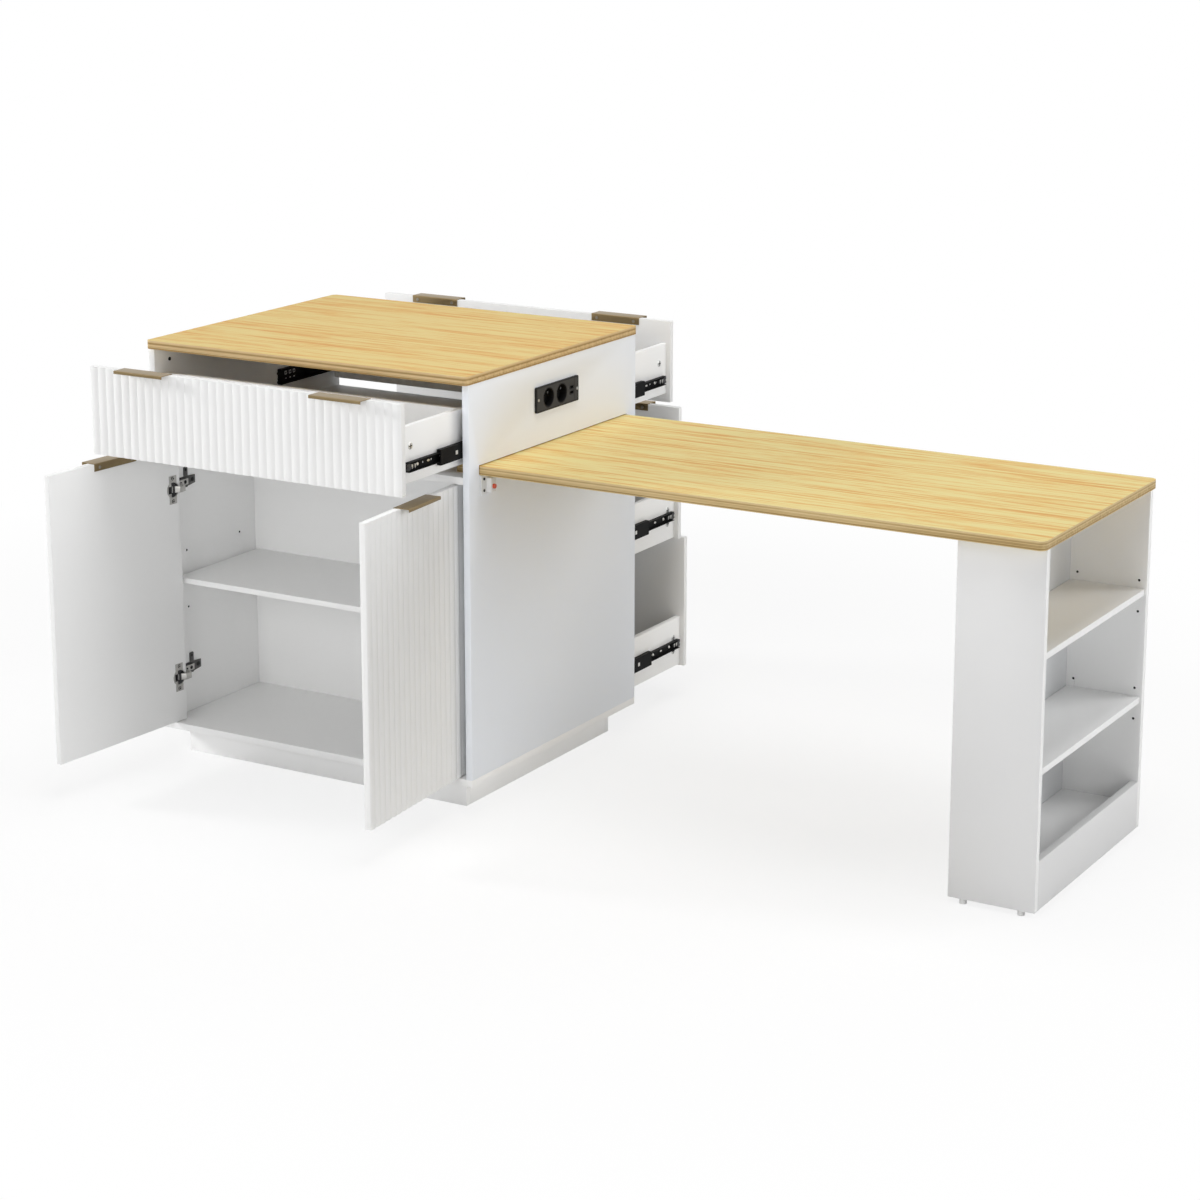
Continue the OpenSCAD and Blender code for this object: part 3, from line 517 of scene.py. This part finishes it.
web_t = 0.0012        # thickness of the channels' webs
tab_inset = 0.092     # from the front to the tab in the web
cam_inset = 0.032     # from the front to the box's cams
cam_drop = 0.041      # from a shallow box's top edge to its one cam
cam_rise = 0.016      # from the slide's axis to each of a deep box's two cams
deep_carrier = 0.25   # a carrier longer than this belongs to a deep drawer
lever_black = moulded("lever_black", (0.016, 0.016, 0.017), 0.4)
cam_grey = satin_metal("cam_grey", (0.62, 0.62, 0.61), 0.4, 1.0, 2, 700.0)
for drawer in drawers:
    outward = -1 if drawer == "front_drawer" else 1
    inward = -outward
    body = nodes[drawer + "_front"]["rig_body"]
    fixed, moving = nodes[drawer + "_rails"]["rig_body"], nodes[drawer + "_carriers"]["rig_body"]
    for part in ("_rails", "_runners", "_carriers"):
        finish_with(nodes[drawer + part], black_steel)
    low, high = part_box(drawer + "_front")
    front_y = high.y if outward < 0 else low.y
    low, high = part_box(drawer + "_runners")
    axis_z = (low.z + high.z) / 2
    low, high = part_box(drawer + "_box")
    side_x, box_top = high.x, high.z
    low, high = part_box(drawer + "_carriers")
    carrier_x, carrier_y = high.x, (low.y if outward < 0 else high.y)
    deep = (high.y - low.y) > deep_carrier
    levers, tabs, heads, cams, slots, stamps = [], [], [], [], [], []
    for side in (-1, 1):
        # X runs from the front into the cabinet and Z points to the side panel
        web = upright(side, side * (side_x + web_t), inward, front_y, axis_z)
        levers.append(raised([(10, -4), (12, -7), (20, -8), (24, -5), (44, -3), (44, 3), (24, 5),
                              (20, 8), (12, 7), (10, 4), (13, 0)], 0.3, 5.5, web))
        for x in (28, 38):
            tabs.append(raised([(x - 2.5, 5), (x + 2.5, 4), (x + 0.5, -5)], 5.5, 6.1, web))
        tabs.append(raised(ring_of(2.2, 8, 2.2), 0.1, 0.7,
                           web @ Matrix.Translation((tab_inset, 0, 0))))
        for x in (54, 129) if deep else (54, 180):
            heads.append(turned([(3.6, 0.1), (3.6, 0.7), (2.6, 1.6), (0.3, 1.7)],
                                web @ Matrix.Translation((x / 1e3, 0, 0)), 16))
        stamps.append(raised([(54, -4), (62, -4), (62, 4), (54, 4)], 0.0, 0.12,
                             upright(side, side * carrier_x, inward, carrier_y, axis_z)))
        for up in (axis_z + cam_rise, axis_z - cam_rise) if deep else (box_top - cam_drop,):
            bore = upright(side, side * side_x, inward, front_y + inward * cam_inset, up)
            cams.append(turned([(7.4, 0.0), (7.4, 0.5), (6.6, 0.9), (0.3, 0.9)], bore, 28))
            slots.append(raised(cross_of(5.4, 1.0), 0.85, 1.0, bore))
    low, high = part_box(drawer + "_rails")
    end_y = high.y if outward < 0 else low.y
    tips, frames, holes = [], [], []
    for side in (-1, 1):
        # X runs the way the drawer opens and Z points away from the side panel
        rail = upright(-side, side * (high.x - web_t), outward, end_y, axis_z)
        tips.append(raised([(1, -16), (-3, -15), (-3, -11), (1, -9), (-2, -5), (1, -2), (1, 3),
                            (-3, 6), (-3, 10), (1, 11), (-2, 15), (1, 16)], -1.0, 0.06, rail))
        for x in (29, 45, 60):
            for mark, wide, low_y, high_y in ((frames, 4.0, 1.0, 9.0), (holes, 2.6, 2.4, 7.6),
                                              (frames, 2.4, -9.0, -6.6)):
                top = 0.08 if mark is frames else 0.12
                mark.append(raised([(x - wide, low_y), (x + wide, low_y), (x + wide, high_y),
                                    (x - wide, high_y)], 0.02, top, rail))
    piece_of(joined(tips + holes), drawer + "_rail_ends", fixed, [black_steel])
    piece_of(joined(frames), drawer + "_rail_marks", fixed, [cam_grey])
    piece_of(joined(levers), drawer + "_slide_levers", body, [lever_black], 0.0005)
    piece_of(joined(tabs), drawer + "_slide_tabs", body, [zinc])
    piece_of(joined(heads), drawer + "_slide_screws", body, [zinc])
    piece_of(joined(cams), drawer + "_box_cams", body, [cam_grey])
    piece_of(joined(slots), drawer + "_cam_slots", body, [black_steel])
    piece_of(joined(stamps), drawer + "_carrier_stamps", moving, [zinc])

# ---------------------------------------------------------------------------
# Concealed hinges: a nickel cup with black damper and links in the door, and
# a cross-shaped plate under the arm on the side panel. Pins and caps match.
# ---------------------------------------------------------------------------
nickel = satin_metal("nickel", (0.50, 0.49, 0.47), 0.32, 1.0, 2, 500.0)
# The hinge plates, and the earth pins in their sockets, take a nickel darkened nearly to black:
# painted shade.
shaded_nickel = satin_metal("shaded_nickel", (0.10, 0.10, 0.098), 0.3, 1.0, 2, 500.0)
# Dark nickel is the dark metal of pins, caps and screws, and painted shade on the hinge-plate
# screws and on the arms' ends inside the cups.
dark_nickel_and_shade = satin_metal("dark_nickel_and_shade", (0.05, 0.05, 0.05), 0.4, 1.0, 2, 500.0)
for node in ("hinge_pins", "left_hinge_cups", "right_hinge_cups"):
    finish_with(nodes[node], nickel)
for node in ("shelf_pins", "leg_shelf_pins", "fastener_caps"):
    finish_with(nodes[node], dark_nickel_and_shade)
finish_with(nodes["strip_earth_pins"], shaded_nickel)

hinge_levels = (0.1765, 0.5955)
pivot_x, pivot_y, door_angle = 0.3655, -0.325, 94
panel_x = 0.390       # inner face of the side panels
plate_longest = 0.06  # the CAD's plain plates are shorter, and its arms longer
# The darkness of an arm's end inside its cup is painted shade.
arm_cut_x = 0.3570    # an arm is dark past this and in front of arm_cut_y, inside the cup
arm_cut_y = -0.312
cup_floor_y, ear_face_y, ear_reach = -0.0042, 0.00875, 0.025
mesh = cleaned("hinge_mounts")
plates = [face for solid in solids_in(mesh) if length_of(solid) < plate_longest
          for face in solid]
bmesh.ops.delete(mesh, geom=plates, context="FACES")
for side in (-1, 1):
    bmesh.ops.bisect_plane(mesh, geom=mesh.verts[:] + mesh.edges[:] + mesh.faces[:],
                           plane_co=(side * arm_cut_x, 0, 0), plane_no=(1, 0, 0))
# Faces of an arm inside its cup take the dark nickel: painted shade.
for face in mesh.faces:
    centre = face.calc_center_median()
    face.material_index = 1 if abs(centre.x) > arm_cut_x + 0.0001 and centre.y < arm_cut_y else 0
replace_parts(piece_of(mesh, "hinge_arms", "cabinet", [nickel, dark_nickel_and_shade], 0.0008),
            "hinge_mounts")
seats, screws, crosses = [], [], []
for side in (-1, 1):
    for z in hinge_levels:
        # X runs into the cabinet and Z points away from the side panel's face
        wall = upright(-side, side * panel_x, 1, pivot_y, z)
        seats.append(raised([(42, -11), (74, -12), (76, -14), (85, -14), (87, -12), (112, -9),
                             (112, 9), (87, 11), (87, 30), (85, 32), (76, 32), (74, 30), (74, 11),
                             (42, 11)], 0.05, 2.2, wall))
        seats.append(raised([(46, -6.2), (86, -6.2), (86, 6.2), (46, 6.2)], 2.2, 3.9, wall))
        for up in (7.0, -8.2):
            seats.append(raised([(47, up), (83, up), (83, up + 1.2), (47, up + 1.2)],
                                2.4, 6.9, wall))
        for x, up, at, r in ((80.5, 25, 2.2, 3.4), (103, 0, 2.2, 5.2), (72, 0, 6.95, 4.2),
                             (57, 0, 6.95, 3.0)):
            spot = wall @ Matrix.Translation((x / 1e3, up / 1e3, at / 1e3))
            screws.append(turned([(r, 0.05), (r, 0.8), (r * 0.7, 1.3), (0.3, 1.3)], spot, 16))
            crosses.append(raised(cross_of(r * 0.55, 0.5), 1.25, 1.45, spot))
piece_of(joined(seats), "hinge_seats", "cabinet", [shaded_nickel], 0.0003)
piece_of(joined(screws), "hinge_screws", "cabinet", [dark_nickel_and_shade])
piece_of(joined(crosses), "hinge_screw_crosses", "cabinet", [black_steel])
for side, door in ((-1, "left_door"), (1, "right_door")):
    # The door's own axes: X runs along it from its pivot and Y through its thickness
    turn = Matrix.Diagonal((side, 1, 1, 1)) @ Matrix.Translation((pivot_x, pivot_y, 0)) @ \
        Matrix.Rotation(math.radians(door_angle), 4, "Z")
    links, lids, crosses = [], [], []
    for z in hinge_levels:
        cup = turn @ Matrix.Translation((0, cup_floor_y, z)) @ \
            Matrix.Rotation(math.radians(-90), 4, "X")
        links.append(raised([(-5, -15), (0, -16), (6, -14.9), (11, -11.8), (14.3, -7.4), (16, 0),
                             (14.3, 7.4), (11, 11.8), (6, 14.9), (0, 16), (-5, 15)], 0.1, 1.2, cup))
        for half in (-1, 1):
            links.append(raised([(14.2, 7.4 * half), (11, 11.8 * half), (6, 14.9 * half),
                                 (0, 16 * half), (-5, 15 * half), (-5, 7.4 * half)],
                                1.2, 10.2, cup))
            lids.append(raised([(-4.8, 8 * half), (-4.8, 15.2 * half), (-9, 13.1 * half),
                                (-13, 9.2 * half), (-13.8, 8 * half)], 10.0, 11.0, cup))
        lids.append(raised([(-13, -7.6), (-13, 7.6), (-14, 7.4), (-15.9, 0), (-14, -7.4)],
                           10.0, 11.0, cup))
        for up in (-ear_reach, ear_reach):
            spot = turn @ Matrix.Translation((0, ear_face_y, z + up)) @ \
                Matrix.Rotation(math.radians(-90), 4, "X")
            crosses.append(raised(cross_of(2.4, 0.7), 0.0, 0.2, spot))
            crosses.append(turned([(4.4, -1.5), (4.4, -1.2), (3.4, -1.0), (3.4, -1.5)], spot, 16))
    piece_of(joined(links), door + "_hinge_links", door, [lever_black], 0.0002)
    piece_of(joined(lids), door + "_cup_lids", door, [nickel])
    piece_of(joined(crosses), door + "_cup_screws", door, [black_steel])

# ---------------------------------------------------------------------------
# Power strip: a dark grey plate with a black rim and a seam, black sockets
# and ports, and two bright screws. Its housing is hidden in the cabinet.
# ---------------------------------------------------------------------------
rim, seam_y, seam_half = 0.003, 0.067, 0.0008
strip_level = 0.75    # the strip's screws are above this, and the catch's below
low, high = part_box("strip_plate")
middle = (low + high) / 2
plate_grey, wire = new_material("plate_grey")
place = wire.node("ShaderNodeTexCoord", out="Object")
across = wire.node("ShaderNodeSeparateXYZ", None, {"Vector": place}, "Y") - middle.y
upward = wire.node("ShaderNodeSeparateXYZ", None, {"Vector": place}, "Z") - middle.z
beyond = abs(across) - (high.y - middle.y - rim) | abs(upward) - (high.z - middle.z - rim)
dark = (beyond > 0.0) | (abs(across - seam_y) < seam_half)
grit = wire.node("ShaderNodeTexNoise", None, {"Vector": place, "Scale": 1800.0, "Detail": 2.0})
face_grey = wire.vector("SCALE", (0.036, 0.036, 0.037), Scale=0.85 + 0.3 * grit)
bump = wire.node("ShaderNodeBump", None, {"Strength": 0.2, "Distance": 0.0001, "Height": grit})
surface(wire, wire.node("ShaderNodeBsdfPrincipled", None, {
    "Base Color": wire.node("ShaderNodeMix", {"data_type": "RGBA"}, {
        0: dark, 6: face_grey, 7: (0.008, 0.008, 0.008, 1.0)}, 2),
    "Roughness": 0.5 + 0.2 * grit, "Normal": bump, "Specular IOR Level": 0.25}))
eased("strip_plate", plate_grey, 0.0008)
socket_black = moulded("socket_black", (0.008, 0.008, 0.008), 0.5, 0.2)
finish_with(nodes["strip_housing"], socket_black)
eased("strip_sockets", socket_black, 0.0003)
finish_with(nodes["strip_usb_ports"], socket_black)
mesh = cleaned("panel_screws")
for face in mesh.faces:
    face.material_index = 0 if face.calc_center_median().z > strip_level else 1
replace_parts(piece_of(mesh, "panel_screws_set", "cabinet", [zinc, dark_nickel_and_shade]),
            "panel_screws")

# ---------------------------------------------------------------------------
# Table catch and glides: white moulded plastic, with a red spring button in
# the catch.
# ---------------------------------------------------------------------------
eased("catch_body", moulded("catch_white", (0.72, 0.72, 0.72), 0.45), 0.001)
eased("catch_button", moulded("button_red", (0.62, 0.085, 0.035), 0.35), 0.0008)
finish_with(nodes["leg_glides"], moulded("glide_white", (0.78, 0.78, 0.77), 0.5))
